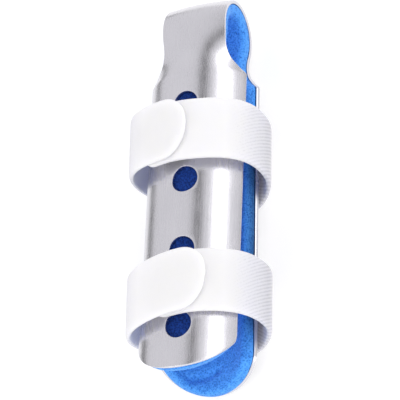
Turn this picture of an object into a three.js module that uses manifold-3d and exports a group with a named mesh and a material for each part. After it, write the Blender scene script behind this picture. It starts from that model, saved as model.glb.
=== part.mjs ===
// A padded aluminium finger splint, lying on its back leaf: a curled metal sheet folded over the
// fingertip, a foam lining that follows it inside, and two hook-and-loop straps that wrap round it.
// Millimetres, +Z up. +Y points to the fingertip end, and the open end faces -Y. The origin is on
// the surface the splint lies on, below the middle of its bounding box.

import * as THREE from "three";
import { mergeVertices } from "three/addons/utils/BufferGeometryUtils.js";
import Module from "manifold-3d";

const wasm = await Module();
wasm.setup();

// Driving dimensions of the folded sheet
const LENGTH = 100; // open end to the outside of the fingertip fold
const SHEET = 0.85; // metal thickness
const OPEN_SLIT = 6.9; // between the linings' long edges at the open end
const SHOULDER_SLIT = 2.9; // the same where the leaves begin to narrow
const FOLD_DEPTH = 17.4; // over both sides of the band that goes round the fingertip
const LEAF_WIDTH = 29.2; // flat width of a leaf
const BAND_WIDTH = 17; // flat width of the band
const LEAF_CURL = THREE.MathUtils.degToRad(101); // how far a leaf curls round the finger
const BAND_CURL = THREE.MathUtils.degToRad(14); // the band is nearly flat
const SHOULDER_AT = 77; // distance of the shoulders from the open end
const NECK_RUN = 10.15; // length over which the depth changes behind the shoulders
const CURL_RUN = 14; // length over which the curl changes
const SHOULDER_RADIUS = 1.7;
const FLANK_ANGLE = THREE.MathUtils.degToRad(47); // of the neck's slanted edges to the length
const WAIST_RADIUS = 7.4;
const END_RADIUS = 19; // of each leaf's curved end
const CORNER_RADIUS = 3; // of the corners beside it
const END_RUN = 25; // length over which the columns of a leaf even out behind its end
const BACK_TRIM = 0.6; // how much shorter the back leaf is

// Round holes through both leaves, at distances from the open end
const HOLE_RADIUS = 3.35;
const HOLES_AT = [0.106 * LENGTH, 0.298 * LENGTH, 0.483 * LENGTH, 0.688 * LENGTH];
const LAST_HOLE_OFF = -0.8; // the last one's distance off the middle line

// The foam lining
const FOAM = 2.75; // thickness
const FOAM_ROUND = 0.7; // softened inner edges
const SEAT = 0.3; // clearance between pieces that lie on each other

// The straps
const STRAP_WIDTH = 15.5;
const STRAP = 1.3; // thickness
const STRAP_REST_WIDTH = 8; // flat stretch that lies on the surface below
const STRAP_WAIST = 0.42; // height of the widest place, as a share of the loop's height
// how full the loop's curves are above and below its widest place, across and up
const STRAP_CROWN = { across: 0.45, up: 0.62 };
const STRAP_HEEL = { across: 0.45, up: 0.4 };
const STRAP_OVERLAP = 17; // length of the tab over the inner end
const TAB_ROUND = 6.3; // length of the tab's round end
const TAB_SKEW = 1; // how far the tab's tip lies towards the fingertip
const STRAP_EASE = 20; // length over which the strap comes out from under its tab
const SIDE_ROOM = 4; // between the leaves' long edges and a strap
const STRAP_TWIST = 2; // how far the corners of a soft loop lie off its plane

const LOWER_AT = 19; // distance of the lower strap from the open end
const LOWER_ROOM = 3.2; // between the front leaf and the strap over it
const LOWER_TAB_AT = 8.3; // where the tab ends, past the crest
const LOWER_SIDES = 0.9; // how far both sides of the loop lie towards the fingertip

const UPPER_AT = 57.2;
const UPPER_ROOM = 4.6;
const UPPER_TAB_AT = 3;
const UPPER_SIDES = 2.4;
const UPPER_OFF = -0.6; // shift of the loop to the right

// lean moves a loop along the splint with each unit of height, and skew with each unit across
const STRAPS = [
  {
    name: "strap_lower",
    at: LOWER_AT,
    above: LOWER_ROOM,
    tabAt: LOWER_TAB_AT,
    sides: LOWER_SIDES,
    off: 0,
    lean: 0.107,
    skew: 0,
  },
  {
    name: "strap_upper",
    at: UPPER_AT,
    above: UPPER_ROOM,
    tabAt: UPPER_TAB_AT,
    sides: UPPER_SIDES,
    off: UPPER_OFF,
    lean: 0.21,
    skew: -0.07,
  },
];

// Fineness of the facets
const COLUMNS = 14; // facets across a leaf
const HOLE_SIDES = 28;
const STRAP_STEPS = 72;
const TAB_SHARE = 0.88; // share of a strap's steps before its tab's round end
const TAB_TIP = 1.5; // width of the last step

// What the curled leaf and its lining measure across and deep
const leafRadius = LEAF_WIDTH / LEAF_CURL;
const leafReach = leafRadius * Math.sin(LEAF_CURL / 2);
const liningEdge = leafRadius - (leafRadius - SHEET - SEAT - FOAM) * Math.cos(LEAF_CURL / 2);
const OPEN_DEPTH = 2 * liningEdge + OPEN_SLIT;
const SHOULDER_DEPTH = 2 * liningEdge + SHOULDER_SLIT;
const leafSlope = (OPEN_DEPTH - SHOULDER_DEPTH) / 2 / SHOULDER_AT;
const foldRadius = FOLD_DEPTH / 2;
const mix = THREE.MathUtils.lerp;
const ease = (share) => THREE.MathUtils.smoothstep(share, 0, 1);

// Half the outside depth of the two leaves, at a distance from the open end.
const halfDepthAt = (y) => OPEN_DEPTH / 2 - leafSlope * y;

// Half the flat width of the sheet at a distance from the open end: leaf, shoulder arc, slanted
// flank, waist arc, band.
function halfWidthAt(y) {
  const narrowing = (LEAF_WIDTH - BAND_WIDTH) / 2;
  const arcs = (SHOULDER_RADIUS + WAIST_RADIUS) * (1 - Math.cos(FLANK_ANGLE));
  const flank = Math.max(narrowing - arcs, 0) / Math.sin(FLANK_ANGLE);
  const shoulderEnd = SHOULDER_RADIUS * Math.sin(FLANK_ANGLE);
  const waistStart = shoulderEnd + flank * Math.cos(FLANK_ANGLE);
  const waistEnd = waistStart + WAIST_RADIUS * Math.sin(FLANK_ANGLE);
  const total = arcs + flank * Math.sin(FLANK_ANGLE);
  const run = THREE.MathUtils.clamp(y - SHOULDER_AT, 0, waistEnd);
  let drop;
  if (run < shoulderEnd) {
    drop = SHOULDER_RADIUS - Math.sqrt(SHOULDER_RADIUS ** 2 - run ** 2);
  } else if (run < waistStart) {
    drop = SHOULDER_RADIUS * (1 - Math.cos(FLANK_ANGLE)) + (run - shoulderEnd) * Math.tan(FLANK_ANGLE);
  } else {
    drop = total - WAIST_RADIUS + Math.sqrt(WAIST_RADIUS ** 2 - (waistEnd - run) ** 2);
  }
  return LEAF_WIDTH / 2 - (narrowing * drop) / total;
}

// How far a leaf's curved end lies back from its foremost point, at a flat distance off the middle.
function endSetback(off) {
  const cornerOff = LEAF_WIDTH / 2 - CORNER_RADIUS;
  const cornerBack = END_RADIUS - Math.sqrt((END_RADIUS - CORNER_RADIUS) ** 2 - cornerOff ** 2);
  const tangentOff = (cornerOff * END_RADIUS) / (END_RADIUS - CORNER_RADIUS);
  const across = Math.abs(off);
  if (across < tangentOff) return END_RADIUS - Math.sqrt(END_RADIUS ** 2 - across ** 2);
  return cornerBack - Math.sqrt(Math.max(CORNER_RADIUS ** 2 - (across - cornerOff) ** 2, 0));
}

// The outside line of the folded sheet, seen from the side: along the front leaf, in through the
// neck, round the fingertip and back. Each stretch has its number of steps.
function foldedLine() {
  const onLeaf = (y) => new THREE.Vector2(y, halfDepthAt(y));
  const onBand = (y) => new THREE.Vector2(y, foldRadius);
  const neckEnd = SHOULDER_AT + NECK_RUN;
  const third = NECK_RUN / 3;
  const centre = LENGTH - foldRadius;
  const neck = new THREE.CubicBezierCurve(
    onLeaf(SHOULDER_AT),
    onLeaf(SHOULDER_AT + third),
    onBand(neckEnd - third),
    onBand(neckEnd),
  );
  const front = [
    [new THREE.LineCurve(onLeaf(0), onLeaf(END_RUN)), 6],
    [new THREE.LineCurve(onLeaf(END_RUN), onLeaf(SHOULDER_AT)), 2],
    [neck, 10],
    [new THREE.LineCurve(onBand(neckEnd), onBand(centre)), 1],
  ];
  const fold = new THREE.EllipseCurve(centre, 0, foldRadius, foldRadius, Math.PI / 2, -Math.PI / 2, true);
  const stations = [];
  const walk = (curve, steps, sign, backwards) => {
    for (let i = stations.length ? 1 : 0; i <= steps; i++) {
      const share = backwards ? 1 - i / steps : i / steps;
      const point = curve.getPoint(share);
      const along = curve.getTangent(share).multiplyScalar(backwards ? -1 : 1);
      point.y *= sign;
      along.y *= sign;
      // the outward normal lies to the left of the walking direction
      stations.push({ y: point.x, z: point.y, normalY: -along.y, normalZ: along.x });
    }
  };
  for (const [curve, steps] of front) walk(curve, steps, 1, false);
  walk(fold, 14, 1, false);
  for (const [curve, steps] of [...front].reverse()) walk(curve, steps, -1, true);
  return stations;
}

// The point of the sheet's stack at a station: share is the place across the width, from -1 to 1,
// depth is measured inwards from the outside of the metal, and back moves it from a leaf's end.
function stackPoint(station, share, depth, back = 0) {
  const halfWidth = halfWidthAt(station.y);
  const curl = mix(LEAF_CURL, BAND_CURL, ease((station.y - SHOULDER_AT) / CURL_RUN));
  const radius = (2 * halfWidth) / curl;
  const angle = (share * curl) / 2;
  const inward = radius - (radius - depth) * Math.cos(angle);
  const nearEnd = Math.max(1 - station.y / END_RUN, 0);
  const trim = station.z < 0 ? BACK_TRIM : 0;
  const shift = (endSetback(share * halfWidth) + trim + back) * nearEnd;
  return new THREE.Vector3(
    (radius - depth) * Math.sin(angle),
    station.y - station.normalY * inward + shift,
    station.z - station.normalZ * inward,
  );
}

// A closed solid through sections that have the same number of points, each a loop of Vector3.
function loft(sections) {
  const count = sections[0].length;
  const positions = sections.flat().flatMap((point) => point.toArray());
  const index = [];
  for (let s = 0; s + 1 < sections.length; s++) {
    for (let i = 0; i < count; i++) {
      const a = s * count + i;
      const b = s * count + ((i + 1) % count);
      index.push(a, b, b + count, a, b + count, a + count);
    }
  }
  // each end is closed by a strip between the two halves of its loop
  for (const [first, turned] of [[0, true], [(sections.length - 1) * count, false]]) {
    for (let i = 0; i < count / 2 - 1; i++) {
      const quad = [first + i, first + i + 1, first + count - 2 - i, first + count - 1 - i];
      if (turned) quad.reverse();
      const [a, b, c, d] = quad;
      index.push(a, b, c, a, c, d);
    }
  }
  const geometry = new THREE.BufferGeometry();
  geometry.setAttribute("position", new THREE.Float32BufferAttribute(positions, 3));
  geometry.setIndex(index);
  return geometry;
}

// Places across the width, closer together towards the edges.
const shares = Array.from({ length: COLUMNS + 1 }, (_, i) => Math.sin((i / COLUMNS - 0.5) * Math.PI));

function toSolid(geometry) {
  const bare = geometry.clone();
  bare.deleteAttribute("normal");
  bare.deleteAttribute("uv");
  const merged = mergeVertices(bare, 1e-4);
  return new wasm.Manifold(
    new wasm.Mesh({
      numProp: 3,
      vertProperties: merged.attributes.position.array,
      triVerts: new Uint32Array(merged.index.array),
    }),
  );
}

function toGeometry(solid) {
  const mesh = solid.getMesh();
  const geometry = new THREE.BufferGeometry();
  geometry.setAttribute("position", new THREE.BufferAttribute(mesh.vertProperties, 3));
  geometry.setIndex(new THREE.BufferAttribute(mesh.triVerts, 1));
  return geometry;
}

// The metal sheet, with the same row of holes in both leaves.
function makeShell(stations) {
  const sections = stations.map((station) => [
    ...shares.map((share) => stackPoint(station, share, 0)),
    ...[...shares].reverse().map((share) => stackPoint(station, share, SHEET)),
  ]);
  const drills = HOLES_AT.map((at, number) => {
    const off = number === HOLES_AT.length - 1 ? LAST_HOLE_OFF : 0;
    const drill = new THREE.CylinderGeometry(HOLE_RADIUS, HOLE_RADIUS, 2 * OPEN_DEPTH, HOLE_SIDES);
    drill.rotateX(Math.PI / 2);
    drill.translate(off, at, 0);
    return toSolid(drill);
  });
  return toGeometry(drills.reduce((sheet, drill) => sheet.subtract(drill), toSolid(loft(sections))));
}

// The foam strip inside the sheet, its inner edges softened.
function makeFoam(stations) {
  const outer = SHEET + SEAT;
  const inner = outer + FOAM;
  const sections = stations.map((station) => {
    const inset = 1 - FOAM_ROUND / halfWidthAt(station.y);
    const innerShares = [...shares].reverse().map((share) => share * inset);
    return [
      ...shares.map((share) => stackPoint(station, share, outer)),
      stackPoint(station, 1, inner - FOAM_ROUND),
      ...innerShares.map((share) => stackPoint(station, share, inner, FOAM_ROUND)),
      stackPoint(station, -1, inner - FOAM_ROUND),
    ];
  });
  return loft(sections);
}

// The outside outline of a strap's loop, across the splint (x) and up (y), from its left extreme
// over the front leaf to the right and back below: a low arch above, a narrower one below that
// hugs the back leaf, and a flat stretch that is lain on.
function strapOutline(top, reach) {
  const waist = top * STRAP_WAIST;
  const flat = STRAP_REST_WIDTH / 2;
  const crown = { x: reach * STRAP_CROWN.across, y: mix(waist, top, STRAP_CROWN.up) };
  const heel = { x: mix(flat, reach, STRAP_HEEL.across), y: mix(waist, 0, STRAP_HEEL.up) };
  const outline = new THREE.Path();
  outline.moveTo(-reach, waist);
  outline.bezierCurveTo(-reach, crown.y, -crown.x, top, 0, top);
  outline.bezierCurveTo(crown.x, top, reach, crown.y, reach, waist);
  outline.bezierCurveTo(reach, heel.y, heel.x, 0, flat, 0);
  outline.lineTo(-flat, 0);
  outline.bezierCurveTo(-heel.x, 0, -reach, heel.y, -reach, waist);
  return outline;
}

// A strap: one strip that starts under its own tab, goes once round the splint and ends in the
// rounded tab on top of its start.
function makeStrap({ at, above, tabAt, sides, off, lean, skew }) {
  const top = STRAP + SEAT + 2 * halfDepthAt(at) + above + STRAP;
  const reach = leafReach + SIDE_ROOM + STRAP;
  const outline = strapOutline(top, reach);
  const around = outline.getLength();
  const start = outline.curves[0].getLength() + tabAt - STRAP_OVERLAP;
  const length = around + STRAP_OVERLAP;
  const sections = [];
  for (let i = 0; i <= STRAP_STEPS; i++) {
    // the last steps close up round the tab's end
    const share = i / STRAP_STEPS;
    const run = share < TAB_SHARE
      ? (length - TAB_ROUND) * (share / TAB_SHARE)
      : length - TAB_ROUND * (1 - Math.sin(((share - TAB_SHARE) / (1 - TAB_SHARE)) * (Math.PI / 2)));
    const place = THREE.MathUtils.euclideanModulo((start + run) / around, 1);
    const point = outline.getPointAt(place);
    const along = outline.getTangentAt(place);
    const normal = new THREE.Vector2(-along.y, along.x);
    const sunk = (STRAP + SEAT) * (1 - ease((run - STRAP_OVERLAP) / STRAP_EASE));
    const intoTab = Math.max(run - (length - TAB_ROUND), 0) / TAB_ROUND;
    const halfWidth = Math.max((STRAP_WIDTH / 2) * Math.sqrt(Math.max(1 - intoTab ** 2, 0)), TAB_TIP / 2);
    const middle = at + TAB_SKEW * intoTab ** 2;
    const corner = (side, depth) => {
      const x = point.x - normal.x * depth;
      const z = point.y - normal.y * depth;
      const across = x / reach;
      const up = (2 * z) / top - 1;
      const bend = lean * (z - top / 2) + skew * x + STRAP_TWIST * across * up + sides * across ** 2;
      return new THREE.Vector3(x + off, middle + side * halfWidth + bend, z);
    };
    sections.push([corner(1, sunk), corner(-1, sunk), corner(-1, sunk + STRAP), corner(1, sunk + STRAP)]);
  }
  return loft(sections);
}

const aluminium = new THREE.MeshStandardMaterial({ color: 0xc9c9cf, roughness: 0.28, metalness: 1 });
const blueFoam = new THREE.MeshStandardMaterial({ color: 0x2f74dc, roughness: 0.95, metalness: 0 });
const whiteTape = new THREE.MeshStandardMaterial({ color: 0xf3f3f7, roughness: 0.85, metalness: 0 });

function named(name, geometry, material) {
  const mesh = new THREE.Mesh(geometry, material);
  mesh.name = name;
  return mesh;
}

// The sheet and its lining are built about their middle plane, then turned so that the back leaf
// lies level on the straps.
const stations = foldedLine();
const splint = new THREE.Group();
splint.add(named("splint_shell", makeShell(stations), aluminium));
splint.add(named("foam_lining", makeFoam(stations), blueFoam));
const leafTilt = Math.atan(leafSlope);
splint.rotation.x = -leafTilt;
splint.position.z = STRAP + SEAT + (OPEN_DEPTH / 2) * Math.cos(leafTilt);

const group = new THREE.Group();
group.add(splint);
for (const strap of STRAPS) group.add(named(strap.name, makeStrap(strap), whiteTape));

// the origin goes below the middle of the whole
const box = new THREE.Box3().setFromObject(group, true);
group.position.set(-(box.min.x + box.max.x) / 2, -(box.min.y + box.max.y) / 2, -box.min.z);

export default group;
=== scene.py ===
"""Looks of a padded aluminium finger splint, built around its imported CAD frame.

A curled metal sheet is folded over the fingertip, a foam lining follows it inside, and two
hook-and-loop straps wrap round it. Every piece starts as a flat blank, as in the workshop, and is
then folded or wrapped by the same sizes as the CAD part. The splint's sizes are in millimetres,
which MM turns into Blender's metres. The studio's are in metres.
"""

import logging
import math
from dataclasses import dataclass
from enum import Enum
from functools import cached_property

import bpy
import numpy as np
from mathutils import Matrix, Vector


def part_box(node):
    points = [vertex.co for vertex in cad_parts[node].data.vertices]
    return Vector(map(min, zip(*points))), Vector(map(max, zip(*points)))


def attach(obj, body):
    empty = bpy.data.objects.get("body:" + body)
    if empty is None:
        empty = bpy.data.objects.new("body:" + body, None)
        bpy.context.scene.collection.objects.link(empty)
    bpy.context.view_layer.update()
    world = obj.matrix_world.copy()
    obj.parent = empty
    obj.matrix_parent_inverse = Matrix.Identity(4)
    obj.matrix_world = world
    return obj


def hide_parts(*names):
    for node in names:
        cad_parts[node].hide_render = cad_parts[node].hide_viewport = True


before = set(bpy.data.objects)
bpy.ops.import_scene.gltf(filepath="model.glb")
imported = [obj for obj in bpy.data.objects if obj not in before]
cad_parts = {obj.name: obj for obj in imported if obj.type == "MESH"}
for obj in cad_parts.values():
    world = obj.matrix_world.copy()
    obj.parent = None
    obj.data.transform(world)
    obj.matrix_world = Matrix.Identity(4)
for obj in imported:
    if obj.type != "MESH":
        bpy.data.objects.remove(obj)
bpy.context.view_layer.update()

MM = 0.001
LOG = logging.getLogger("splint")

ROUNDEST = 0.98  # largest share of a slab's half width that an edge's rounding takes up
TINY = 1e-9  # keeps a division by a length away from nought
WAVE_SCALE = math.tau / 20  # a Wave texture's scale for one band in each unit

Pair = tuple[float, float]
Triple = tuple[float, float, float]
Colour = Triple
Piece = bpy.types.Object
Socket = bpy.types.NodeSocket


class Slot(Enum):
    """The record's material slots."""

    METAL = "metal_sheet"
    FOAM = "foam"
    TAPE = "strap_tape"


def activate(piece: Piece) -> None:
    """Leaves one object selected and active.

    Args:
        piece: the object to work on.
    """
    bpy.ops.object.select_all(action="DESELECT")
    piece.select_set(True)
    bpy.context.view_layer.objects.active = piece


def places(piece: Piece) -> np.ndarray:
    """Reads a mesh's points.

    Args:
        piece: a mesh object.

    Returns:
        One row of x, y and z for each vertex.
    """
    flat = np.empty(len(piece.data.vertices) * 3)
    piece.data.vertices.foreach_get("co", flat)
    return flat.reshape(-1, 3)


def move_to(piece: Piece, points: np.ndarray) -> None:
    """Puts a mesh's vertices at new places.

    Args:
        piece: a mesh object.
        points: one row of x, y and z for each vertex.
    """
    piece.data.vertices.foreach_set("co", points.astype(np.float32).ravel())
    piece.data.update()


def grid_blank(name: str, columns: int, rows: int, layers: int = 0) -> Piece:
    """Adds a flat grid from -1 to 1 both ways, or extrudes it down into a closed slab to z -1.

    Args:
        name: the piece's name.
        columns: faces across.
        rows: faces along.
        layers: faces through a slab's thickness.

    Returns:
        The new object, a slab's normals outwards.
    """
    bpy.ops.object.select_all(action="DESELECT")
    bpy.ops.mesh.primitive_grid_add(x_subdivisions=columns, y_subdivisions=rows, size=2)
    blank = bpy.context.active_object
    blank.name = blank.data.name = name
    if layers:
        bpy.ops.object.mode_set(mode="EDIT")
        bpy.ops.mesh.select_all(action="SELECT")
        for _ in range(layers):
            bpy.ops.mesh.extrude_region_move(TRANSFORM_OT_translate={"value": (0, 0, -1 / layers)})
        bpy.ops.mesh.select_all(action="SELECT")
        bpy.ops.mesh.normals_make_consistent(inside=False)
        bpy.ops.object.mode_set(mode="OBJECT")
    return blank


def finish_with(piece: Piece, kind: str, **settings: object) -> None:
    """Adds a modifier and applies it.

    Args:
        piece: a mesh object.
        kind: the modifier's type.
        settings: its properties.
    """
    activate(piece)
    modifier = piece.modifiers.new(kind.title(), kind)
    for key, value in settings.items():
        setattr(modifier, key, value)
    bpy.ops.object.modifier_apply(modifier=modifier.name)


def lay_uv(piece: Piece, across: np.ndarray, along: np.ndarray) -> None:
    """Gives a mesh a UV map from numbers at its vertices.

    Args:
        piece: a mesh object.
        across: u of each vertex, 0 to 1.
        along: v of each vertex, 0 to 1.
    """
    mesh = piece.data
    while mesh.uv_layers:
        mesh.uv_layers.remove(mesh.uv_layers[0])
    layer = mesh.uv_layers.new(name="blank")
    corners = np.empty(len(mesh.loops), np.int32)
    mesh.loops.foreach_get("vertex_index", corners)
    uv = np.column_stack((across[corners], along[corners]))
    layer.data.foreach_set("uv", uv.astype(np.float32).ravel())


def rounded_slab(
    points: np.ndarray, half_width: np.ndarray, ends: Pair, thickness: float, radii: Pair
) -> np.ndarray:
    """Rounds all the edges of a slab that is given by shares of its sizes.

    Args:
        points: across from -1 to 1, place along in millimetres, and depth from 0 to 1.
        half_width: half the slab's width at each point.
        ends: where the slab starts and ends along its length.
        thickness: its thickness.
        radii: how round its edges are at depth 0 and at depth 1.

    Returns:
        Across, along and depth in millimetres, one row for each point.
    """
    sides = np.column_stack((points[:, 0] * half_width, points[:, 1], points[:, 2] * thickness))
    radius = np.where(points[:, 2] < 0.5, *radii)
    bend = np.minimum(radius, ROUNDEST * half_width)
    low = np.column_stack((bend - half_width, ends[0] + bend, np.full(len(bend), radii[0])))
    high = np.column_stack(
        (half_width - bend, ends[1] - bend, np.full(len(bend), thickness - radii[1]))
    )
    core = np.clip(sides, low, high)
    out = sides - core
    reach = np.linalg.norm(out, axis=1, keepdims=True)
    edge = np.abs(out).max(axis=1, keepdims=True)
    return core + np.where(reach > 0, out * edge / np.maximum(reach, TINY), 0)


def smooth_share(share: np.ndarray) -> np.ndarray:
    """The smooth step from 0 to 1.

    Args:
        share: how far along the step each point is.

    Returns:
        The eased share, held at 0 and at 1 beyond the ends.
    """
    held = np.clip(share, 0, 1)
    return held * held * (3 - 2 * held)


def spread(across: np.ndarray, evenness: float) -> np.ndarray:
    """Draws a blank's columns closer together towards its sides.

    Args:
        across: place of each point, from -1 to 1.
        evenness: 1 leaves the columns even, and 0 spaces them like a sine.

    Returns:
        The new places, from -1 to 1.
    """
    return evenness * across + (1 - evenness) * np.sin(across * math.pi / 2)


def row_places(up: np.ndarray, rows: np.ndarray) -> np.ndarray:
    """Looks up where a blank's rows go.

    Args:
        up: place of each point along the blank, from -1 to 1.
        rows: where each row goes, from one end to the other.

    Returns:
        The place of each point's row.
    """
    return rows[np.rint((up + 1) / 2 * (len(rows) - 1)).astype(int)]


def cubic(share: np.ndarray, *controls: Pair) -> np.ndarray:
    """A cubic curve.

    Args:
        share: how far along the curve each point is, 0 to 1.
        controls: its start, the two points that draw it, and its end.

    Returns:
        One row for each point.
    """
    t = share[:, None]
    a, b, c, d = (np.array(control, float) for control in controls)
    return a * (1 - t) ** 3 + 3 * b * t * (1 - t) ** 2 + 3 * c * t * t * (1 - t) + d * t**3


def traced(points: np.ndarray) -> np.ndarray:
    """Measures a line of points.

    Args:
        points: one row of two coordinates for each point.

    Returns:
        Rows of the distance along the line, the two coordinates and the normal on its left.
    """
    steps = np.linalg.norm(np.diff(points, axis=0), axis=1)
    distance = np.concatenate(([0.0], np.cumsum(steps)))
    ahead = np.gradient(points, distance, axis=0)
    ahead /= np.linalg.norm(ahead, axis=1, keepdims=True)
    return np.column_stack((distance, points, -ahead[:, 1], ahead[:, 0]))


def ride_and_dress(piece: Piece, node: str, slot: Slot, *materials: bpy.types.Material) -> None:
    """Ties a finished piece to the frame and gives it its materials.

    Args:
        piece: the finished mesh object.
        node: the CAD node that it stands for.
        slot: the record's slot that its finish comes from.
        materials: its materials, in the order of its slots.
    """
    face_slots = [face.material_index for face in piece.data.polygons]
    piece.data.materials.clear()
    for material in materials:
        piece.data.materials.append(material)
    piece.data.polygons.foreach_set("material_index", face_slots)
    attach(piece, "root")
    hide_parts(node)
    LOG.info("%s: %d faces, stands for %s", piece.name, len(piece.data.polygons), node)


class Wiring:
    """A material's node tree, with short calls that add and link its nodes."""

    def __init__(self, name: str, **sockets: object) -> None:
        """Starts a material with one Principled shader.

        Args:
            name: the material's name.
            sockets: values for the shader's own sockets, by name with _ for a space.
        """
        self.material = bpy.data.materials.new(name)
        self.material.use_nodes = True
        self.tree = self.material.node_tree
        self.tree.nodes.clear()
        self.shader = self.add("ShaderNodeBsdfPrincipled", **sockets)
        output = self.add("ShaderNodeOutputMaterial")
        self.tree.links.new(self.shader.outputs["BSDF"], output.inputs["Surface"])

    def add(
        self, kind: str, /, settings: dict[str, object] | None = None, **sockets: object
    ) -> bpy.types.Node:
        """Adds a node.

        Args:
            kind: the node's type.
            settings: properties of the node itself.
            sockets: a value or another node's output for each input, by name with _ for a space.

        Returns:
            The new node.
        """
        node = self.tree.nodes.new(kind)
        for key, value in (settings or {}).items():
            setattr(node, key, value)
        for key, value in sockets.items():
            self.feed(node, key.replace("_", " "), value)
        return node

    def feed(self, node: bpy.types.Node, socket: str | int, value: object) -> None:
        """Sets one input of a node, or links it.

        Args:
            node: the node.
            socket: the input's name or number.
            value: a number, a colour or another node's output.
        """
        if isinstance(value, Socket):
            self.tree.links.new(value, node.inputs[socket])
        elif isinstance(value, tuple) and len(value) == 3 and node.inputs[socket].type == "RGBA":
            node.inputs[socket].default_value = (*value, 1)
        else:
            node.inputs[socket].default_value = value

    def mapped(self, source: str, scale: Triple = (1, 1, 1), turn: float = 0.0) -> Socket:
        """A scaled and turned coordinate.

        Args:
            source: "Object" or "UV".
            scale: the Mapping node's scale.
            turn: its turn about Z, in degrees.

        Returns:
            The mapped coordinate.
        """
        coordinate = self.add("ShaderNodeTexCoord")
        first = self.add("ShaderNodeMapping", Vector=coordinate.outputs[source], Scale=scale)
        if not turn:
            return first.outputs["Vector"]
        rotation = (0, 0, math.radians(turn))
        turned = self.add("ShaderNodeMapping", Vector=first.outputs["Vector"], Rotation=rotation)
        return turned.outputs["Vector"]

    def noise(self, vector: Socket, scale: float, detail: float) -> Socket:
        """A noise value over a coordinate.

        Args:
            vector: the coordinate.
            scale: how fine the noise is.
            detail: how many finer layers it has.

        Returns:
            The value, from 0 to 1.
        """
        settings = {"Vector": vector, "Scale": scale, "Detail": detail, "Roughness": 0.6}
        return self.add("ShaderNodeTexNoise", **settings).outputs["Fac"]

    def span(self, value: Socket, start: float, end: float, low: float, high: float) -> Socket:
        """Maps one range of a value to another.

        Args:
            value: the value.
            start: where its range starts.
            end: where its range ends.
            low: what its start becomes.
            high: what its end becomes.

        Returns:
            The mapped value, held at low and high beyond the range.
        """
        ends = {"From_Min": start, "From_Max": end, "To_Min": low, "To_Max": high}
        return self.add("ShaderNodeMapRange", Value=value, **ends).outputs["Result"]

    def math(self, operation: str, first: object, second: object) -> Socket:
        """Joins two values by a Math node.

        Args:
            operation: the node's operation.
            first: a number or another node's output.
            second: the same.

        Returns:
            The outcome.
        """
        node = self.add("ShaderNodeMath", {"operation": operation})
        self.feed(node, 0, first)
        self.feed(node, 1, second)
        return node.outputs["Value"]

    def blend(self, first: Socket, second: Socket, share: float) -> Socket:
        """Mixes two values.

        Args:
            first: one value.
            second: the other.
            share: the second one's share.

        Returns:
            The mixed value.
        """
        rest = self.math("MULTIPLY", first, 1 - share)
        return self.math("ADD", rest, self.math("MULTIPLY", second, share))

    def scaled(self, colour: Socket, factor: Socket) -> Socket:
        """Darkens a colour.

        Args:
            colour: the colour.
            factor: what is left of it, 0 to 1.

        Returns:
            The darkened colour.
        """
        node = self.add("ShaderNodeVectorMath", {"operation": "SCALE"})
        self.feed(node, 0, colour)
        self.feed(node, "Scale", factor)
        return node.outputs["Vector"]

    def ramp(self, value: Socket, stops: list[tuple[float, Colour]]) -> Socket:
        """Colours a value.

        Args:
            value: the value from 0 to 1.
            stops: a place and a colour each.

        Returns:
            The colour.
        """
        node = self.add("ShaderNodeValToRGB", Fac=value)
        steps = node.color_ramp.elements
        while len(steps) < len(stops):
            steps.new(0.5)
        for step, (place, colour) in zip(steps, stops):
            step.position, step.color = place, (*colour, 1)
        return node.outputs["Color"]

    def bump(self, height: Socket, strength: float, distance: float) -> None:
        """Gives the shader's normal a bump.

        Args:
            height: the height from 0 to 1.
            strength: its share.
            distance: its depth in millimetres.
        """
        node = self.add("ShaderNodeBump", Strength=strength, Distance=distance * MM, Height=height)
        self.tree.links.new(node.outputs["Normal"], self.shader.inputs["Normal"])


@dataclass(frozen=True)
class BrushedAluminium:
    """Satin aluminium with a fine grain along the sheet."""

    name: str = "brushed_aluminium"
    dull: Colour = (0.63, 0.625, 0.655)
    bright: Colour = (0.75, 0.745, 0.77)
    grain: Triple = (150.0, 9.0, 1.0)
    flecks: Triple = (80.0, 50.0, 1.0)
    fleck_share: float = 0.35
    cloud: float = 70.0
    cloud_share: float = 0.4
    worn: Pair = (0.3, 0.7)
    roughness: Pair = (0.20, 0.34)
    grain_depth: float = 0.02

    def material(self) -> bpy.types.Material:
        """Builds the node material."""
        wiring = Wiring(self.name, Metallic=1.0)
        lines = wiring.noise(wiring.mapped("UV", self.grain), scale=1.0, detail=4.0)
        flecks = wiring.noise(wiring.mapped("UV", self.flecks), scale=1.0, detail=2.0)
        grain = wiring.blend(lines, flecks, self.fleck_share)
        cloud = wiring.noise(wiring.mapped("Object"), self.cloud, detail=2.0)
        worn = wiring.blend(grain, cloud, self.cloud_share)
        colour = wiring.ramp(worn, list(zip(self.worn, (self.dull, self.bright))))
        wiring.feed(wiring.shader, "Base Color", colour)
        wiring.feed(wiring.shader, "Roughness", wiring.span(worn, *self.worn, *self.roughness))
        wiring.bump(grain, strength=0.5, distance=self.grain_depth)
        return wiring.material


@dataclass(frozen=True)
class HighlightedCutEdge:
    """The rounded edge of the punched sheet: polished metal, with a painted highlight as a much
    brighter copy of the aluminium.
    """

    name: str = "cut_edge_highlight"
    # painted highlight: near-white metal, far brighter than the faces
    dull: Colour = (0.93, 0.93, 0.96)
    bright: Colour = (0.99, 0.99, 1.0)
    scratch: float = 900.0
    roughness: Pair = (0.30, 0.42)

    def material(self) -> bpy.types.Material:
        """Builds the node material."""
        wiring = Wiring(self.name, Metallic=1.0)
        scratch = wiring.noise(wiring.mapped("Object"), self.scratch, detail=2.0)
        colour = wiring.ramp(scratch, [(0.35, self.dull), (0.65, self.bright)])
        wiring.feed(wiring.shader, "Base Color", colour)
        wiring.feed(wiring.shader, "Roughness", wiring.span(scratch, 0.3, 0.7, *self.roughness))
        wiring.bump(scratch, strength=0.3, distance=0.01)
        return wiring.material


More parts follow.
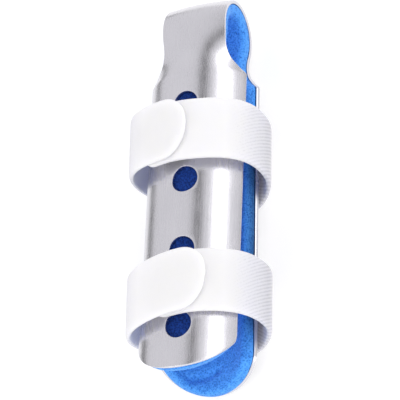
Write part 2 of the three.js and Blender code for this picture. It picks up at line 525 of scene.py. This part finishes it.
@dataclass(frozen=True)
class BlueFoam:
    """Open blue foam with small pores, darkened in its cells as painted shade, and with painted
    shade on its long cut sides.

    The sides are found on the UV map: off its middle across, and in a range along.
    """

    name: str = "blue_foam"
    pore_shade: Colour = (0.016, 0.100, 0.42)
    body: Colour = (0.050, 0.270, 0.79)
    lit: Colour = (0.092, 0.380, 0.96)
    # painted shade: the share of the colour left on the long cut sides
    side: float = 0.38
    side_shade_off: Pair = (0.51, 0.60)
    side_shade_from: Pair = (0.16, 0.20)
    side_shade_to: Pair = (0.44, 0.475)
    cell: float = 2300.0
    blotch: float = 700.0
    blotch_share: float = 0.55
    sheen: float = 0.12
    gloss: float = 0.3

    def material(self) -> bpy.types.Material:
        """Builds the node material."""
        wiring = Wiring(
            self.name, Roughness=0.95, Sheen_Weight=self.sheen, Sheen_Roughness=0.5,
            Specular_IOR_Level=self.gloss,
        )
        place = wiring.mapped("Object")
        cells = wiring.add("ShaderNodeTexVoronoi", Vector=place, Scale=self.cell, Randomness=1.0)
        blotch = wiring.noise(place, self.blotch, detail=4.0)
        open_cell = wiring.span(cells.outputs["Distance"], 0.1, 0.75, 0.0, 1.0)
        texture = wiring.blend(open_cell, blotch, self.blotch_share)
        # random mottling, with painted shade in the open cells and painted light on the cell walls
        colour = wiring.ramp(texture, [(0.22, self.pore_shade), (0.46, self.body), (0.72, self.lit)])
        blank = wiring.add("ShaderNodeSeparateXYZ", Vector=wiring.mapped("UV"))
        off, far = (
            wiring.math("ABSOLUTE", wiring.math("SUBTRACT", blank.outputs[axis], 0.5), 0.0)
            for axis in "XY"
        )
        # painted shade on the long cut sides, found by the UV map
        outside = wiring.span(off, *self.side_shade_off, 0.0, 1.0)
        painted_side_shade = wiring.math("MULTIPLY", outside, wiring.span(far, *self.side_shade_from, 0.0, 1.0))
        painted_side_shade = wiring.math("MULTIPLY", painted_side_shade, wiring.span(far, *self.side_shade_to, 1.0, 0.0))
        shade = wiring.span(painted_side_shade, 0.0, 1.0, 1.0, self.side)
        wiring.feed(wiring.shader, "Base Color", wiring.scaled(colour, shade))
        wiring.bump(texture, strength=0.8, distance=0.25)
        return wiring.material


@dataclass(frozen=True)
class OuterFoamShade(BlueFoam):
    """The foam's outer side in dark navy: painted shade for the dim foam seen through the holes."""

    name: str = "outer_shade_foam"
    pore_shade: Colour = (0.004, 0.012, 0.060)
    body: Colour = (0.007, 0.026, 0.150)
    lit: Colour = (0.012, 0.050, 0.270)
    sheen: float = 0.0
    gloss: float = 0.1


@dataclass(frozen=True)
class WhiteTape:
    """Woven white hook-and-loop tape: slanted ribs under a short, soft pile.

    The ribs fade in and out at four distances past the loop's crest, where the tape is also
    darkened as painted shade; its grooves carry painted shade too.
    """

    width: float
    length: float
    crest: float
    name: str = "white_tape"
    # painted shade in the rib grooves
    groove_shade: Colour = (0.56, 0.56, 0.60)
    pile: Colour = (0.892, 0.889, 0.915)
    ribbed: tuple[float, float, float, float] = (13.0, 26.0, 78.0, 92.0)
    rib_depth: float = 0.42
    # painted shade over the ribbed stretch, round the strap's side
    ribbed_painted_shade: float = 0.65
    glow: float = 0.8
    glow_reach: float = 2.9
    rib: float = 0.74
    rib_turn: float = 33.0
    fuzz: float = 2600.0

    def material(self) -> bpy.types.Material:
        """Builds the node material."""
        wiring = Wiring(
            self.name, Roughness=0.9, Sheen_Weight=0.25, Sheen_Roughness=0.4,
            Subsurface_Weight=self.glow, Subsurface_Radius=(1.0, 1.0, 1.2),
            Subsurface_Scale=self.glow_reach * MM,
        )
        woven = wiring.mapped("UV", (self.width, self.length, 1), self.rib_turn)
        ribs = wiring.add(
            "ShaderNodeTexWave",
            {"wave_type": "BANDS", "bands_direction": "X", "wave_profile": "SIN"},
            Vector=woven, Scale=WAVE_SCALE / self.rib, Distortion=0.6, Detail=2.0, Detail_Scale=1.5,
        )
        strip = wiring.add("ShaderNodeSeparateXYZ", Vector=wiring.mapped("UV", (1, self.length, 1)))
        run = strip.outputs["Y"]
        marks = [self.crest + past for past in self.ribbed]
        fading = wiring.span(run, *marks[2:], 1.0, 0.0)
        shown = wiring.math("MULTIPLY", wiring.span(run, *marks[:2], 0.0, 1.0), fading)
        grooves = wiring.math("MULTIPLY", wiring.math("SUBTRACT", 1.0, ribs.outputs["Fac"]), shown)
        fuzz = wiring.noise(wiring.mapped("Object"), self.fuzz, detail=4.0)
        pile = wiring.span(fuzz, 0.2, 0.8, 0.6, 1.0)
        height = wiring.math("SUBTRACT", pile, wiring.math("MULTIPLY", grooves, self.rib_depth))
        # painted shade: low places, the rib grooves most, take the darker groove colour
        colour = wiring.ramp(height, [(0.1, self.groove_shade), (0.7, self.pile)])
        # painted shade: the ribbed stretch is darkened
        shade = wiring.span(shown, 0.0, 1.0, 1.0, self.ribbed_painted_shade)
        wiring.feed(wiring.shader, "Base Color", wiring.scaled(colour, shade))
        wiring.bump(height, strength=0.5, distance=0.10)
        return wiring.material


@dataclass(frozen=True)
class PaleFloor:
    """The plain, pale surface that the splint lies on."""

    name: str = "pale_floor"
    colour: Colour = (0.66, 0.66, 0.66)
    glow: float = 0.46

    def material(self) -> bpy.types.Material:
        """Builds the node material: a matt sheet, lit a little from below like a light table."""
        return Wiring(
            self.name, Base_Color=self.colour, Roughness=1.0, Specular_IOR_Level=0.0,
            Emission_Color=(1.0, 1.0, 1.0), Emission_Strength=self.glow,
        ).material


@dataclass(frozen=True)
class FoldedForm:
    """The form that the metal and its lining share.

    It is a curled leaf, a narrow band over the fingertip, and the same leaf back again.
    """

    length: float = 100.0
    sheet: float = 0.85
    seat: float = 0.3
    foam: float = 2.75
    open_slit: float = 6.9
    shoulder_slit: float = 2.9
    fold_depth: float = 17.4
    leaf_width: float = 29.2
    band_width: float = 17.0
    leaf_curl: float = math.radians(101)
    band_curl: float = math.radians(14)
    shoulder_at: float = 77.0
    neck_run: float = 10.15
    curl_run: float = 14.0
    back_trim: float = 0.6
    shoulder_radius: float = 1.7
    flank_angle: float = math.radians(47)
    waist_radius: float = 7.4
    end_radius: float = 19.0
    corner_radius: float = 3.0
    end_run: float = 25.0
    strap: float = 1.3
    fineness: int = 600

    @cached_property
    def leaf_radius(self) -> float:
        """Radius of a leaf's curl."""
        return self.leaf_width / self.leaf_curl

    @cached_property
    def leaf_reach(self) -> float:
        """Half the width of a curled leaf."""
        return self.leaf_radius * math.sin(self.leaf_curl / 2)

    @cached_property
    def lining_edge(self) -> float:
        """Depth of the lining's long edge below the leaf's crest."""
        inner = self.leaf_radius - self.sheet - self.seat - self.foam
        return self.leaf_radius - inner * math.cos(self.leaf_curl / 2)

    @cached_property
    def leaf_slope(self) -> float:
        """How fast each leaf falls towards the fingertip."""
        return (self.open_slit - self.shoulder_slit) / 2 / self.shoulder_at

    @cached_property
    def half_open(self) -> float:
        """Half the outside depth at the open end."""
        return self.lining_edge + self.open_slit / 2

    @cached_property
    def tilt(self) -> float:
        """The turn that lays the back leaf level."""
        return math.atan(self.leaf_slope)

    @cached_property
    def shift(self) -> Vector:
        """From the form's own middle plane to the row frame."""
        low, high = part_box("splint_shell")
        fold_radius = self.fold_depth / 2
        tip = (self.length - fold_radius) * math.cos(self.tilt) + fold_radius
        height = self.strap + self.seat + self.half_open * math.cos(self.tilt)
        return Vector(((low.x + high.x) / 2 / MM, high.y / MM - tip, height))

    def half_depth(self, y: np.ndarray) -> np.ndarray:
        """Half the outside depth of the two leaves.

        Args:
            y: distances from the open end.

        Returns:
            Half the depth at each.
        """
        return self.half_open - self.leaf_slope * y

    @cached_property
    def line(self) -> tuple[np.ndarray, list[float]]:
        """Half of the folded line, from a leaf's end to the fingertip.

        Returns:
            Rows of distance, y, z and the outward normal, and the distances of the shoulder, the
            band, the fold and the fingertip.
        """
        share = np.linspace(0, 1, self.fineness)
        radius = self.fold_depth / 2
        neck_end, third = self.shoulder_at + self.neck_run, self.neck_run / 3
        centre = self.length - radius
        starts = (self.shoulder_at, self.shoulder_at + third)
        on_leaf = ((y, self.half_depth(y)) for y in starts)
        run = share * self.shoulder_at
        leaf = np.column_stack((run, self.half_depth(run)))
        neck = cubic(share, *on_leaf, (neck_end - third, radius), (neck_end, radius))
        flat = neck_end + share * (centre - neck_end)
        band = np.column_stack((flat, np.full(len(share), radius)))
        turn = share * math.pi / 2
        fold = np.column_stack((centre + radius * np.sin(turn), radius * np.cos(turn)))
        rows = traced(np.vstack((leaf, neck[1:], band[1:], fold[1:])))
        return rows, [rows[i * (self.fineness - 1), 0] for i in range(1, 5)]

    @cached_property
    def total(self) -> float:
        """Length of the whole folded line."""
        return 2 * self.line[1][-1]

    def station(self, along: np.ndarray) -> tuple[np.ndarray, ...]:
        """The folded line at a distance along it.

        Args:
            along: distances from the front leaf's end; beyond an end the line goes on straight.

        Returns:
            y, z, and the outward normal's y and z.
        """
        rows = self.line[0]
        front = along <= self.total / 2
        near = np.where(front, along, self.total - along)
        y, z, normal_y, normal_z = (np.interp(near, rows[:, 0], rows[:, i]) for i in range(1, 5))
        beyond = np.minimum(near, 0)
        side = np.where(front, 1.0, -1.0)
        return y + beyond * normal_z, (z - beyond * normal_y) * side, normal_y, normal_z * side

    def rows(self, leaf: int, neck: int, band: int, fold: int) -> np.ndarray:
        """Places of a blank's rows along the line.

        Args:
            leaf: rows on a leaf.
            neck: rows on a neck.
            band: rows on the flat of the band.
            fold: rows on a quarter of the fingertip's fold.

        Returns:
            The distances, from one end of the sheet to the other.
        """
        marks = [0.0, *self.line[1]]
        half = [0.0]
        for start, end, count in zip(marks, marks[1:], (leaf, neck, band, fold)):
            half += list(np.linspace(start, end, count + 1)[1:])
        near = np.array(half)
        return np.concatenate((near, self.total - near[-2::-1]))

    def half_width(self, y: np.ndarray) -> np.ndarray:
        """Half the sheet's flat width: leaf, shoulder arc, slanted flank, waist arc, band.

        Args:
            y: distances from the open end.

        Returns:
            Half the width at each.
        """
        narrowing = (self.leaf_width - self.band_width) / 2
        angle = self.flank_angle
        arcs = (self.shoulder_radius + self.waist_radius) * (1 - math.cos(angle))
        flank = max(narrowing - arcs, 0) / math.sin(angle)
        shoulder_end = self.shoulder_radius * math.sin(angle)
        waist_start = shoulder_end + flank * math.cos(angle)
        waist_end = waist_start + self.waist_radius * math.sin(angle)
        total = arcs + flank * math.sin(angle)
        run = np.clip(y - self.shoulder_at, 0, waist_end)
        near = self.shoulder_radius - np.sqrt(np.maximum(self.shoulder_radius**2 - run**2, 0))
        shoulder_drop = self.shoulder_radius * (1 - math.cos(angle))
        middle = shoulder_drop + (run - shoulder_end) * math.tan(angle)
        waist = np.sqrt(np.maximum(self.waist_radius**2 - (waist_end - run) ** 2, 0))
        far = total - self.waist_radius + waist
        drop = np.where(run < shoulder_end, near, np.where(run < waist_start, middle, far))
        return self.leaf_width / 2 - narrowing * drop / total

    def setback(self, off: np.ndarray) -> np.ndarray:
        """How far a leaf's curved end lies back.

        Args:
            off: flat distances off the middle.

        Returns:
            The distance back at each.
        """
        corner_off = self.leaf_width / 2 - self.corner_radius
        inner = self.end_radius - self.corner_radius
        corner_back = self.end_radius - math.sqrt(inner**2 - corner_off**2)
        tangent_off = corner_off * self.end_radius / inner
        across = np.abs(off)
        arc = self.end_radius - np.sqrt(np.maximum(self.end_radius**2 - across**2, 0))
        round_off = np.sqrt(np.maximum(self.corner_radius**2 - (across - corner_off) ** 2, 0))
        return np.where(across < tangent_off, arc, corner_back - round_off)

    def folded(self, share: np.ndarray, along: np.ndarray, depth: np.ndarray | float) -> np.ndarray:
        """Folds points of a flat blank.

        Args:
            share: place across the width, from -1 to 1.
            along: distance along the sheet from the front leaf's end.
            depth: depth below the outside of the metal.

        Returns:
            The points in the row frame, in metres.
        """
        y, z, normal_y, normal_z = self.station(along)
        half_width = self.half_width(y)
        flattened = smooth_share((y - self.shoulder_at) / self.curl_run)
        curl = self.leaf_curl + (self.band_curl - self.leaf_curl) * flattened
        radius = 2 * half_width / curl
        angle = share * curl / 2
        inward = radius - (radius - depth) * np.cos(angle)
        near_end = np.maximum(1 - y / self.end_run, 0)
        trim = np.where(along > self.total / 2, self.back_trim, 0.0)
        out_y = y - normal_y * inward + (self.setback(share * half_width) + trim) * near_end
        out_z = z - normal_z * inward
        cos, sin = math.cos(self.tilt), math.sin(self.tilt)
        points = np.column_stack(
            ((radius - depth) * np.sin(angle), out_y * cos + out_z * sin, out_z * cos - out_y * sin)
        )
        return (points + np.array(self.shift)) * MM


@dataclass(frozen=True)
class Hole:
    """A round hole through both leaves: its distance from the open end and off the middle."""

    at: float
    off: float = 0.0


@dataclass
class MetalSheet:
    """The punched and folded aluminium sheet."""

    form: FoldedForm
    holes: tuple[Hole, ...] = (Hole(10.6), Hole(29.8), Hole(48.3), Hole(68.8, -0.8))
    hole_radius: float = 3.35
    hole_border: float = 5.0
    border_slack: float = 1.5
    hole_rings: int = 3
    columns: int = 56
    rows: tuple[int, int, int, int] = (90, 26, 8, 26)
    evenness: float = 0.55
    edge_radius: float = 0.33
    shaded_edge_reach: float = 0.95
    node: str = "splint_shell"

    def cut_blank(self) -> Piece:
        """Cuts the flat sheet.

        Returns:
            The blank, in millimetres: x off the middle line, y along the sheet.
        """
        rows = self.form.rows(*self.rows)
        blank = grid_blank(f"{self.node}_metal", self.columns, len(rows) - 1)
        grid = places(blank)
        off = spread(grid[:, 0], self.evenness) * (self.form.leaf_width / 2)
        move_to(blank, np.column_stack((off, row_places(grid[:, 1], rows), np.zeros(len(grid)))))
        return blank

    def punch(self, blank: Piece, off: float, along: float) -> None:
        """Punches one hole: the faces over it go, and the gap's border is drawn in to a circle.

        Args:
            blank: the flat sheet.
            off: the hole's centre off the middle line.
            along: its centre along the sheet.
        """
        mesh = blank.data
        activate(blank)
        bpy.ops.object.mode_set(mode="EDIT")
        bpy.ops.mesh.select_mode(type="FACE")
        bpy.ops.mesh.select_all(action="DESELECT")
        bpy.ops.object.mode_set(mode="OBJECT")
        for face in mesh.polygons:
            away = max(abs(face.center.x - off), abs(face.center.y - along))
            face.select = bool(away < self.hole_border)
        bpy.ops.object.mode_set(mode="EDIT")
        bpy.ops.mesh.delete(type="FACE")
        bpy.ops.mesh.select_mode(type="EDGE")
        bpy.ops.mesh.select_non_manifold(extend=False, use_wire=False, use_multi_face=False,
                                         use_non_contiguous=False, use_verts=False)
        bpy.ops.object.mode_set(mode="OBJECT")
        reach = self.hole_border + self.border_slack
        for edge in mesh.edges:
            ends = (mesh.vertices[i].co for i in edge.vertices)
            if any(max(abs(end.x - off), abs(end.y - along)) > reach for end in ends):
                edge.select = False
        for left in range(self.hole_rings, 0, -1):
            bpy.ops.object.mode_set(mode="EDIT")
            bpy.ops.mesh.extrude_edges_move(TRANSFORM_OT_translate={"value": (0, 0, 0)})
            bpy.ops.object.mode_set(mode="OBJECT")
            for vertex in (v for v in mesh.vertices if v.select):
                spoke = Vector((vertex.co.x - off, vertex.co.y - along, 0))
                distance = self.hole_radius + (spoke.length - self.hole_radius) * (left - 1) / left
                vertex.co = Vector((off, along, 0)) + spoke.normalized() * distance

    def build(self) -> None:
        """Builds the folded sheet, with satin faces and polished cut edges, brightened as a painted
        highlight.
        """
        blank = self.cut_blank()
        line = self.form.line[0]
        for hole in self.holes:
            along = float(np.interp(hole.at, line[:, 1], line[:, 0]))
            self.punch(blank, hole.off, along)
            self.punch(blank, hole.off, self.form.total - along)
        flat = places(blank)
        share = flat[:, 0] / (self.form.leaf_width / 2)
        lay_uv(blank, share / 2 + 0.5, flat[:, 1] / self.form.total)
        move_to(blank, self.form.folded(share, flat[:, 1], 0.0))
        finish_with(
            blank, "SOLIDIFY", thickness=self.form.sheet * MM, offset=-1, use_even_offset=True,
            use_rim=True, material_offset_rim=1,
        )
        finish_with(
            blank, "BEVEL", width=self.edge_radius * MM, segments=3, limit_method="ANGLE",
            angle_limit=math.radians(50), use_clamp_overlap=True, loop_slide=True, material=1,
        )
        # painted shade: the left long edges keep the faces' satin instead of the edge's painted
        # highlight
        reach = self.shaded_edge_reach * self.form.leaf_reach * MM
        for face in blank.data.polygons:
            if face.center.x < -reach:
                face.material_index = 0
        activate(blank)
        bpy.ops.object.shade_smooth_by_angle(angle=math.radians(40))
        satin, bright = BrushedAluminium().material(), HighlightedCutEdge().material()
        ride_and_dress(blank, self.node, Slot.METAL, satin, bright)


@dataclass
class FoamLining:
    """The strip of blue foam inside the sheet, with full, rounded edges.

    Pores and swell are a size and a depth each.
    """

    form: FoldedForm
    clearance: float = 0.03
    overhang: Pair = (0.2, 0.5)
    radii: Pair = (0.15, 1.6)
    outer_shade_share: float = 0.94
    columns: int = 32
    rows: tuple[int, int, int, int] = (84, 14, 6, 16)
    layers: int = 5
    evenness: float = 0.6
    side_shade_uv: float = 0.12
    pores: Pair = (0.9, 0.08)
    swell: Pair = (6.0, 0.16)
    crease: tuple[Pair, Pair] = ((-7.0, 2.4), (2.5, 5.4))
    crease_depth: float = 1.3
    crease_width: float = 0.65
    node: str = "foam_lining"

    def build(self) -> None:
        total, end_run = self.form.total, self.form.end_run
        rows = self.form.rows(*self.rows)
        blank = grid_blank(f"{self.node}_strip", self.columns, len(rows) - 1, self.layers)
        grid = places(blank)
        across = spread(grid[:, 0], self.evenness)
        ends = (-self.overhang[0], total + self.overhang[1])
        inner = (end_run, total - end_run)
        along = np.interp(
            row_places(grid[:, 1], rows), (0, *inner, total), (ends[0], *inner, ends[1])
        )
        half_width = self.form.half_width(self.form.station(along)[0])
        outer = self.form.sheet + self.clearance
        thickness = self.form.seat + self.form.foam - self.clearance
        slab = rounded_slab(
            np.column_stack((across, along, -grid[:, 2])), half_width, ends, thickness, self.radii
        )
        slab[:, 2] -= self.dent(slab[:, 0], slab[:, 1]) * -grid[:, 2]
        # the outer side takes the navy material, painted shade for the foam seen through the holes
        for face in blank.data.polygons:
            inside = max(abs(face.center.x), abs(face.center.y)) < self.outer_shade_share
            face.material_index = int(inside and face.center.z > -0.5 / self.layers)
        # the long cut sides go past the map's 0 to 1, where the foam material paints shade on them
        on_side = np.where(np.abs(grid[:, 0]) > 0.999, np.sign(grid[:, 0]) * (1 + grid[:, 2]), 0)
        lay_uv(blank, across / 2 + 0.5 + self.side_shade_uv * on_side, np.clip(along / total, 0, 1))
        move_to(blank, self.form.folded(slab[:, 0] / half_width, slab[:, 1], outer + slab[:, 2]))
        finish_with(blank, "SUBSURF", levels=1, render_levels=1)
        self.roughen(blank)
        activate(blank)
        bpy.ops.object.shade_smooth()
        foam, outer_shade = BlueFoam().material(), OuterFoamShade().material()
        ride_and_dress(blank, self.node, Slot.FOAM, foam, outer_shade)

    def dent(self, off: np.ndarray, along: np.ndarray) -> np.ndarray:
        """Depth of the soft crease across the lining near its back end.

        Args:
            off: millimetres off the middle line.
            along: distance along the lining.

        Returns:
            The dent's depth at each point.
        """
        start, end = np.array(self.crease)
        length = np.linalg.norm(end - start)
        run = (end - start) / length
        spots = np.column_stack((off, self.form.total - along)) - start
        reach = np.clip(spots @ run, 0, length)
        gap = np.linalg.norm(spots - reach[:, None] * run, axis=1)
        return self.crease_depth * np.exp(-((gap / self.crease_width) ** 2))

    def roughen(self, piece: Piece) -> None:
        """Opens the foam's cells in the mesh itself.

        Args:
            piece: the smooth lining.
        """
        for name, (size, depth) in (("swell", self.swell), ("pores", self.pores)):
            texture = bpy.data.textures.new(f"foam_{name}", "CLOUDS")
            texture.noise_scale = size * MM
            texture.noise_depth = 2
            finish_with(
                piece, "DISPLACE", texture=texture, texture_coords="LOCAL", strength=depth * MM,
                mid_level=0.75,
            )


@dataclass
class Strap:
    """One hook-and-loop strap.

    It starts under its own tab, goes once round the splint and ends in the tab.
    """

    node: str
    form: FoldedForm
    at: float
    above: float
    tab_at: float
    sides: float
    lean: float
    skew: float = 0.0
    off: float = 0.0
    beside: float = 4.0
    twist: float = 2.0
    width: float = 15.5
    rest_width: float = 8.0
    waist: float = 0.42
    crown: Pair = (0.45, 0.62)
    heel: Pair = (0.45, 0.4)
    overlap: float = 17.0
    tab_round: float = 6.3
    start_round: float = 7.0
    tab_skew: float = 1.0
    ease: float = 20.0
    tab_tip: float = 1.5
    radii: Pair = (0.5, 0.5)
    columns: int = 18
    rows: int = 170
    tab_rows: int = 18
    layers: int = 3
    fineness: int = 400

    @cached_property
    def top(self) -> float:
        """Height of the loop's crest."""
        depth = 2 * float(self.form.half_depth(np.array(self.at)))
        return 2 * self.form.strap + self.form.seat + depth + self.above

    @cached_property
    def reach(self) -> float:
        """Half the loop's width."""
        return self.form.leaf_reach + self.beside + self.form.strap

    @cached_property
    def outline(self) -> tuple[np.ndarray, float]:
        """The loop's outside outline.

        Returns:
            Rows of distance, x, z and the outward normal, and the distance of the crest.
        """
        top, reach, flat = self.top, self.reach, self.rest_width / 2
        waist = top * self.waist
        crown = (reach * self.crown[0], waist + (top - waist) * self.crown[1])
        heel = (flat + (reach - flat) * self.heel[0], waist * (1 - self.heel[1]))
        share = np.linspace(0, 1, self.fineness)
        parts = [
            cubic(share, (-reach, waist), (-reach, crown[1]), (-crown[0], top), (0, top)),
            cubic(share, (0, top), (crown[0], top), (reach, crown[1]), (reach, waist)),
            cubic(share, (reach, waist), (reach, heel[1]), (heel[0], 0), (flat, 0)),
            cubic(share, (flat, 0), (flat / 3, 0), (-flat / 3, 0), (-flat, 0)),
            cubic(share, (-flat, 0), (-heel[0], 0), (-reach, heel[1]), (-reach, waist)),
        ]
        rows = traced(np.vstack([parts[0], *(part[1:] for part in parts[1:])]))
        return rows, float(rows[self.fineness - 1, 0])

    @cached_property
    def length(self) -> float:
        """Length of the flat strap."""
        return float(self.outline[0][-1, 0]) + self.overlap

    def into_tab(self, run: np.ndarray) -> np.ndarray:
        """How far into the tab's round end each point is.

        Args:
            run: distances from the strap's inner end.

        Returns:
            The shares, 0 before the round end and 1 at its tip.
        """
        return np.clip((run - (self.length - self.tab_round)) / self.tab_round, 0, 1)

    def half_width_at(self, run: np.ndarray) -> np.ndarray:
        """Half the strap's width, which closes round the tab's end and the hidden inner end.

        Args:
            run: distances from the strap's inner end.

        Returns:
            Half the width at each.
        """
        back = np.clip(1 - run / self.start_round, 0, 1)
        left = np.sqrt((1 - self.into_tab(run) ** 2) * (1 - back**2))
        return np.maximum(self.width / 2 * left, self.tab_tip / 2)

    def wrapped(self, side: np.ndarray, run: np.ndarray, depth: np.ndarray) -> np.ndarray:
        """Wraps points of the flat strap round the splint.

        Args:
            side: millimetres off the strap's middle line, towards the fingertip.
            run: distance from its inner end.
            depth: depth below its outside.

        Returns:
            The points in the row frame, in metres.
        """
        rows, crest = self.outline
        around = rows[-1, 0]
        place = np.mod(crest + self.tab_at - self.overlap + run, around)
        x, z, normal_x, normal_z = (np.interp(place, rows[:, 0], rows[:, i]) for i in range(1, 5))
        layer = self.form.strap + self.form.seat
        sunk = layer * (1 - smooth_share((run - self.overlap) / self.ease))
        x = x - normal_x * (sunk + depth)
        z = z - normal_z * (sunk + depth)
        across, up = x / self.reach, 2 * z / self.top - 1
        bend = self.lean * (z - self.top / 2) + self.skew * x
        bend = bend + self.twist * across * up + self.sides * across**2
        y = self.at + self.tab_skew * self.into_tab(run) ** 2 + side + bend
        shift = self.form.shift
        return np.column_stack((x + self.off + shift.x, y + shift.y, z)) * MM

    def build(self) -> None:
        """Builds the strap, with its woven finish."""
        blank = grid_blank(f"{self.node}_tape", self.columns, self.rows, self.layers)
        grid = places(blank)
        share = (grid[:, 1] + 1) / 2
        straight = 1 - self.tab_rows / self.rows
        body = (self.length - self.tab_round) * share / straight
        turned = np.clip((share - straight) / (1 - straight), 0, 1)
        end = self.length - self.tab_round * (1 - np.sin(turned * math.pi / 2))
        run = np.where(share < straight, body, end)
        points = np.column_stack((grid[:, 0], run, -grid[:, 2]))
        ends = (0, self.length)
        slab = rounded_slab(points, self.half_width_at(run), ends, self.form.strap, self.radii)
        lay_uv(blank, slab[:, 0] / self.width + 0.5, slab[:, 1] / self.length)
        move_to(blank, self.wrapped(slab[:, 0], slab[:, 1], slab[:, 2]))
        finish_with(blank, "SUBSURF", levels=1, render_levels=1)
        activate(blank)
        bpy.ops.object.mode_set(mode="EDIT")
        bpy.ops.mesh.select_all(action="SELECT")
        bpy.ops.mesh.normals_make_consistent(inside=False)
        bpy.ops.object.mode_set(mode="OBJECT")
        bpy.ops.object.shade_smooth()
        tape = WhiteTape(self.width, self.length, crest=self.overlap - self.tab_at)
        ride_and_dress(blank, self.node, Slot.TAPE, tape.material())


@dataclass(frozen=True)
class Panel:
    """A soft light panel or a grey card, aimed at the splint, its long side along the splint.

    A panel's radiance is what a mirror shows of it, in the world's own units.
    """

    name: str
    towards: Triple
    away: float
    width: float
    length: float
    radiance: float = 0.0
    grey: float = 0.0
    lying: bool = False

    def place(self) -> Matrix:
        """Finds where the panel is: hung with its back along its own Z, or lying flat.

        Returns:
            Its turn and place.
        """
        back = Vector(self.towards).normalized()
        if self.lying:
            return Matrix.Translation(back * self.away)
        along = (Vector((0, 1, 0)) - back * back.y).normalized()
        turn = Matrix((along.cross(back), along, back)).transposed()
        return Matrix.Translation(back * self.away) @ turn.to_4x4()

    def hang(self) -> None:
        """Adds the panel's light or the card's sheet."""
        if self.radiance:
            bpy.ops.object.light_add(type="AREA")
            hung = bpy.context.active_object
            hung.data.shape = "RECTANGLE"
            hung.data.size, hung.data.size_y = self.width, self.length
            hung.data.energy = self.radiance * math.pi * self.width * self.length
        else:
            bpy.ops.mesh.primitive_plane_add(size=1)
            hung = bpy.context.active_object
            hung.data.transform(Matrix.Diagonal((self.width, self.length, 1, 1)))
            grey = (self.grey,) * 3
            card = Wiring(self.name, Base_Color=grey, Roughness=1.0, Specular_IOR_Level=0.0)
            hung.data.materials.append(card.material)
            hung.visible_diffuse = hung.visible_shadow = False
        hung.name = self.name
        hung.matrix_world = self.place()
        hung.visible_camera = False


@dataclass
class Studio:
    """The pale floor, the soft panels, the surroundings and the camera."""

    focus: Vector
    to_camera: Vector = Vector((0.39101, -0.38975, 0.83380))
    image_up: Vector = Vector((0.14859, 0.92077, 0.36072))
    distance: float = 0.63158
    lens: float = 233.75
    shift: Pair = (-0.00846, -0.02697)
    surroundings: Colour = (0.845, 0.835, 0.866)
    floor_size: float = 12.0
    panels: tuple[Panel, ...] = (
        Panel("right_panel", (0.575, 0.39, 0.72), 1.0, 0.35, 1.1, radiance=1.75),
        Panel("front_panel", (-0.50, -0.60, 0.62), 1.1, 0.9, 0.6, radiance=1.5),
        Panel("low_fill", (0.62, -0.72, 0.26), 1.1, 0.9, 0.5, radiance=1.5),
        Panel("dark_card", (0.015, 0.39, 0.92), 0.9, 0.20, 1.6, grey=0.12),
        Panel("edge_card", (0.93, 0.36, 0.10), 1.0, 0.22, 1.6, grey=0.30),
        Panel("side_card", (-0.98, 0.20, 0.01), 0.24, 0.35, 0.9, grey=0.16, lying=True),
    )

    def lay_floor(self) -> None:
        """Lays the floor."""
        bpy.ops.object.select_all(action="DESELECT")
        bpy.ops.mesh.primitive_plane_add(size=self.floor_size, location=(0, 0, 0))
        floor = bpy.context.active_object
        floor.name = "floor"
        floor.data.materials.append(PaleFloor().material())

    def hang_panels(self) -> None:
        """Hangs the light panels and cards, and sets the surroundings."""
        for panel in self.panels:
            panel.hang()
        world = bpy.data.worlds.new("surroundings")
        world.use_nodes = True
        background = world.node_tree.nodes["Background"]
        background.inputs["Color"].default_value = (*self.surroundings, 1)
        bpy.context.scene.world = world

    def set_camera(self) -> None:
        """Sets up the camera."""
        camera = bpy.data.objects.new("camera", bpy.data.cameras.new("camera"))
        bpy.context.scene.collection.objects.link(camera)
        back = self.to_camera.normalized()
        right = self.image_up.cross(back).normalized()
        up = back.cross(right)
        turn = Matrix((right, up, back)).transposed()
        place = Matrix.Translation(self.focus + back * self.distance)
        camera.matrix_world = place @ turn.to_4x4()
        camera.data.lens = self.lens
        camera.data.shift_x, camera.data.shift_y = self.shift
        bpy.context.scene.camera = camera

    def set_up(self) -> None:
        """Sets up the whole studio."""
        self.lay_floor()
        self.hang_panels()
        self.set_camera()
        bpy.context.scene.view_settings.view_transform = "Standard"


def main() -> None:
    """Builds the splint, piece by piece, and the studio round it."""
    logging.basicConfig(level=logging.INFO, format="%(name)s: %(message)s")
    form = FoldedForm()
    makers = [
        MetalSheet(form),
        FoamLining(form),
        Strap(
            "strap_lower", form, at=19.0, above=3.2, tab_at=8.3, sides=0.7, lean=0.107, skew=0.02
        ),
        Strap(
            "strap_upper", form, at=57.4, above=4.6, tab_at=3.0, sides=2.4, lean=0.21, skew=-0.07,
            off=-0.6,
        ),
    ]
    for maker in makers:
        maker.build()
    Studio(focus=Vector((0.000405, -0.000125, 0.012222))).set_up()


if __name__ == "__main__":
    main()
